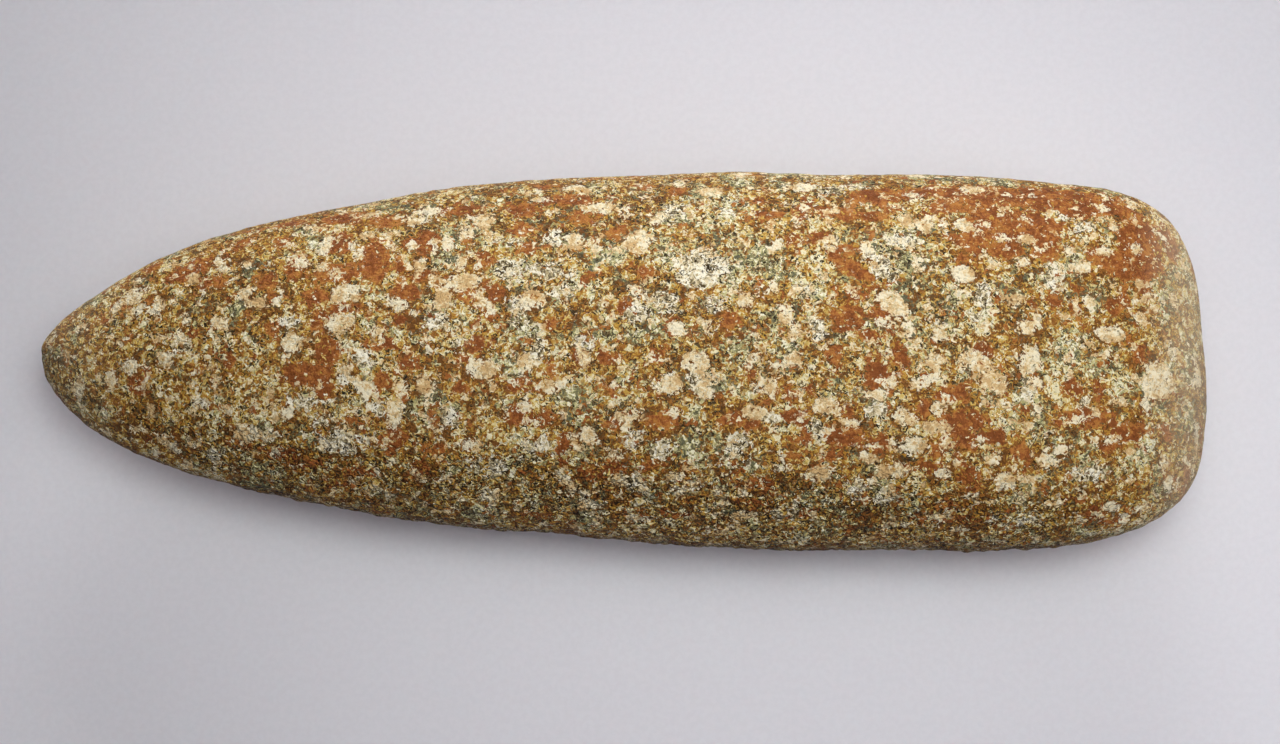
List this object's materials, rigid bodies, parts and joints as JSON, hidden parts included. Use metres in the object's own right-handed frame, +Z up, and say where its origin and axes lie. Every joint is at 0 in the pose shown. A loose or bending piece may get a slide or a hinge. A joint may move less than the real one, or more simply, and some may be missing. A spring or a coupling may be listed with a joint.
{
  "type": "polished stone axe head",
  "caption": "Oval-section ground stone axe head, with a narrow rounded butt that widens to a broad convex cutting edge, lying on its belly.",
  "frame": {"origin": "on the surface that the axe lies on, under the centre of its box", "axes": "+X from the butt to the cutting edge, +Y across the blade, +Z up, through the thickness"},
  "size_m": [0.2004, 0.0656, 0.0355],
  "materials": {
    "stone": "matte"
  },
  "bodies": {
    "root": {"axe_head": "stone"}
  },
  "joints": []
}
